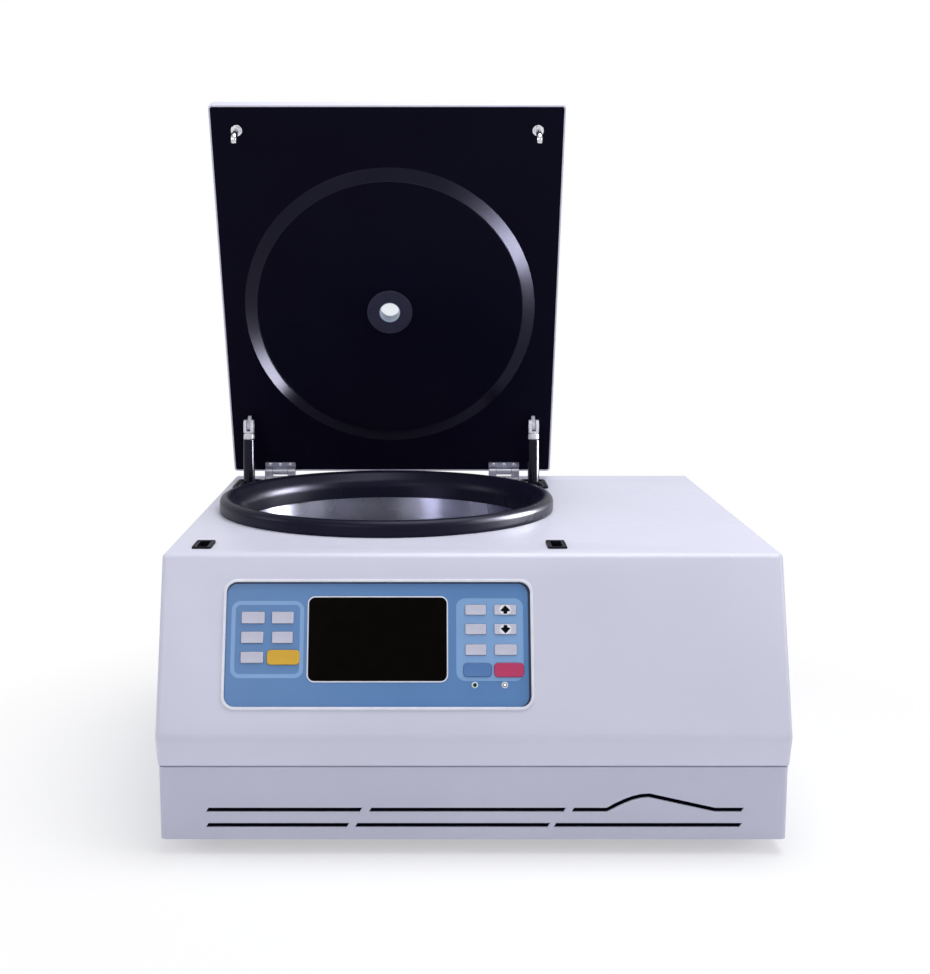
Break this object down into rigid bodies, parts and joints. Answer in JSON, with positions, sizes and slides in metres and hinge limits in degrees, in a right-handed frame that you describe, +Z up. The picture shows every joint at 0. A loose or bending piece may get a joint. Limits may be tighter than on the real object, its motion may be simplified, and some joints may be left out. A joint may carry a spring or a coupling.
{
  "type": "high-speed refrigerated centrifuge",
  "caption": "Bench-top refrigerated centrifuge with a hinged lid on gas struts, an angle rotor in a round chamber, and a sloped control panel with a screen and keys.",
  "frame": {"origin": "on the bench under the middle of the housing, at the feet's undersides", "axes": "+X to the machine's right seen from the front, +Y to the rear, +Z up"},
  "size_m": [0.7, 0.6788, 0.8694],
  "materials": {
    "casing_paint": "satin",
    "tray_paint": "satin",
    "panel_blue": "satin",
    "window_black": "gloss",
    "key_grey": "satin",
    "key_yellow": "satin",
    "key_blue": "satin",
    "key_red": "satin",
    "board_green": "satin",
    "rubber": "satin",
    "stainless": "satin",
    "copper": "satin",
    "foam": "matte",
    "steel": "satin",
    "black_steel": "satin",
    "aluminium": "satin",
    "black_plastic": "satin",
    "liner": "gloss",
    "glass": "gloss"
  },
  "bodies": {
    "cabinet": {"base_tray": "tray_paint", "chamber_bowl": "stainless", "chamber_gasket": "rubber", "compressor": "black_steel", "condenser": "aluminium", "containment_ring": "steel", "control_board": "board_green", "display_window": "window_black", "drive_inverter": "aluminium", "evaporator_coil": "copper", "fan_frame": "black_plastic", "foot_front_left": "rubber", "foot_front_right": "rubber", "foot_rear_left": "rubber", "foot_rear_right": "rubber", "hinge_bracket_left": "steel", "hinge_bracket_right": "steel", "insulation_jacket": "foam", "latch_case_left": "black_plastic", "latch_case_right": "black_plastic", "motor_housing": "aluminium", "motor_mount": "rubber", "panel_overlay": "panel_blue", "power_inlet": "black_plastic", "rear_panel": "tray_paint", "upper_casing": "casing_paint"},
    "lid": {"lid_shell": "casing_paint", "lid_liner": "liner", "port_flange": "steel", "port_window": "glass", "striker_left": "stainless", "striker_right": "stainless", "hinge_leaf_left": "steel", "hinge_leaf_right": "steel"},
    "drive": {"drive_shaft": "steel", "rotor": "aluminium", "rotor_lid": "aluminium", "rotor_knob": "black_plastic"},
    "fan": {"fan_rotor": "black_plastic"},
    "rocker": {"power_rocker": "black_plastic"},
    "strut_tube_left": {"strut_tube_left": "black_steel"},
    "strut_rod_left": {"strut_rod_left": "stainless"},
    "latch_bolt_left": {"latch_bolt_left": "steel"},
    "strut_tube_right": {"strut_tube_right": "black_steel"},
    "strut_rod_right": {"strut_rod_right": "stainless"},
    "latch_bolt_right": {"latch_bolt_right": "steel"},
    "key_blue": {"key_blue": "key_blue"},
    "key_left_1": {"key_left_1": "key_grey"},
    "key_left_2": {"key_left_2": "key_grey"},
    "key_left_3": {"key_left_3": "key_grey"},
    "key_left_4": {"key_left_4": "key_grey"},
    "key_left_5": {"key_left_5": "key_grey"},
    "key_red": {"key_red": "key_red"},
    "key_right_1": {"key_right_1": "key_grey"},
    "key_right_2": {"key_right_2": "key_grey"},
    "key_right_3": {"key_right_3": "key_grey"},
    "key_right_4": {"key_right_4": "key_grey"},
    "key_right_5": {"key_right_5": "key_grey"},
    "key_right_6": {"key_right_6": "key_grey"},
    "key_yellow": {"key_yellow": "key_yellow"}
  },
  "joints": [
    {"name": "lid_hinge", "type": "hinge", "parent": "cabinet", "child": "lid", "pos_m": [-0.106, 0.304, 0.3417], "axis": [1, 0, 0], "range_deg": [0, 70.3], "stiffness_Nm_per_rad": 3, "springref_deg": -143.24},
    {"name": "strut_pivot_left", "type": "hinge", "parent": "lid", "child": "strut_tube_left", "pos_m": [-0.318, 0.26875, 0.41405], "axis": [1, 0, 0], "range_deg": [-59.19, 0]},
    {"name": "strut_stroke_left", "type": "slide", "parent": "strut_tube_left", "child": "strut_rod_left", "axis": [0, 0.0905, 0.9959], "range_m": [0, 0.08133]},
    {"name": "strut_pivot_right", "type": "hinge", "parent": "lid", "child": "strut_tube_right", "pos_m": [0.106, 0.26875, 0.41405], "axis": [1, 0, 0], "range_deg": [-59.19, 0]},
    {"name": "strut_stroke_right", "type": "slide", "parent": "strut_tube_right", "child": "strut_rod_right", "axis": [0, 0.0905, 0.9959], "range_m": [0, 0.08133]},
    {"name": "rotor_spin", "type": "hinge", "parent": "cabinet", "child": "drive", "pos_m": [-0.106, 0.0464, 0.1714], "axis": [0, 0, 1], "continuous": true},
    {"name": "fan_spin", "type": "hinge", "parent": "cabinet", "child": "fan", "pos_m": [0.245, 0.2937, 0.195], "axis": [0, 1, 0], "continuous": true},
    {"name": "key_blue_press", "type": "slide", "parent": "cabinet", "child": "key_blue", "axis": [0, 0.9333, -0.359], "range_m": [0, 0.0008], "stiffness_N_per_m": 400, "springref_m": -0.0005},
    {"name": "key_left_1_press", "type": "slide", "parent": "cabinet", "child": "key_left_1", "axis": [0, 0.9333, -0.359], "range_m": [0, 0.0008], "stiffness_N_per_m": 400, "springref_m": -0.0005},
    {"name": "key_left_2_press", "type": "slide", "parent": "cabinet", "child": "key_left_2", "axis": [0, 0.9333, -0.359], "range_m": [0, 0.0008], "stiffness_N_per_m": 400, "springref_m": -0.0005},
    {"name": "key_left_3_press", "type": "slide", "parent": "cabinet", "child": "key_left_3", "axis": [0, 0.9333, -0.359], "range_m": [0, 0.0008], "stiffness_N_per_m": 400, "springref_m": -0.0005},
    {"name": "key_left_4_press", "type": "slide", "parent": "cabinet", "child": "key_left_4", "axis": [0, 0.9333, -0.359], "range_m": [0, 0.0008], "stiffness_N_per_m": 400, "springref_m": -0.0005},
    {"name": "key_left_5_press", "type": "slide", "parent": "cabinet", "child": "key_left_5", "axis": [0, 0.9333, -0.359], "range_m": [0, 0.0008], "stiffness_N_per_m": 400, "springref_m": -0.0005},
    {"name": "key_red_press", "type": "slide", "parent": "cabinet", "child": "key_red", "axis": [0, 0.9333, -0.359], "range_m": [0, 0.0008], "stiffness_N_per_m": 400, "springref_m": -0.0005},
    {"name": "key_right_1_press", "type": "slide", "parent": "cabinet", "child": "key_right_1", "axis": [0, 0.9333, -0.359], "range_m": [0, 0.0008], "stiffness_N_per_m": 400, "springref_m": -0.0005},
    {"name": "key_right_2_press", "type": "slide", "parent": "cabinet", "child": "key_right_2", "axis": [0, 0.9333, -0.359], "range_m": [0, 0.0008], "stiffness_N_per_m": 400, "springref_m": -0.0005},
    {"name": "key_right_3_press", "type": "slide", "parent": "cabinet", "child": "key_right_3", "axis": [0, 0.9333, -0.359], "range_m": [0, 0.0008], "stiffness_N_per_m": 400, "springref_m": -0.0005},
    {"name": "key_right_4_press", "type": "slide", "parent": "cabinet", "child": "key_right_4", "axis": [0, 0.9333, -0.359], "range_m": [0, 0.0008], "stiffness_N_per_m": 400, "springref_m": -0.0005},
    {"name": "key_right_5_press", "type": "slide", "parent": "cabinet", "child": "key_right_5", "axis": [0, 0.9333, -0.359], "range_m": [0, 0.0008], "stiffness_N_per_m": 400, "springref_m": -0.0005},
    {"name": "key_right_6_press", "type": "slide", "parent": "cabinet", "child": "key_right_6", "axis": [0, 0.9333, -0.359], "range_m": [0, 0.0008], "stiffness_N_per_m": 400, "springref_m": -0.0005},
    {"name": "key_yellow_press", "type": "slide", "parent": "cabinet", "child": "key_yellow", "axis": [0, 0.9333, -0.359], "range_m": [0, 0.0008], "stiffness_N_per_m": 400, "springref_m": -0.0005},
    {"name": "power_rocker_tilt", "type": "hinge", "parent": "cabinet", "child": "rocker", "pos_m": [-0.211, 0.3328, 0.18], "axis": [1, 0, 0], "range_deg": [0, 18]},
    {"name": "latch_bolt_left_slide", "type": "slide", "parent": "cabinet", "child": "latch_bolt_left", "axis": [0, -1, 0], "range_m": [0, 0.0055], "stiffness_N_per_m": 60, "springref_m": -0.004},
    {"name": "latch_bolt_right_slide", "type": "slide", "parent": "cabinet", "child": "latch_bolt_right", "axis": [0, -1, 0], "range_m": [0, 0.0055], "stiffness_N_per_m": 60, "springref_m": -0.004}
  ],
  "couplings": [
    {"joint": "strut_pivot_left", "follows": "lid_hinge", "ratio": -0.8412},
    {"joint": "strut_stroke_left", "follows": "lid_hinge", "m_per_rad": 0.0662},
    {"joint": "strut_pivot_right", "follows": "lid_hinge", "ratio": -0.8412},
    {"joint": "strut_stroke_right", "follows": "lid_hinge", "m_per_rad": 0.0662}
  ]
}
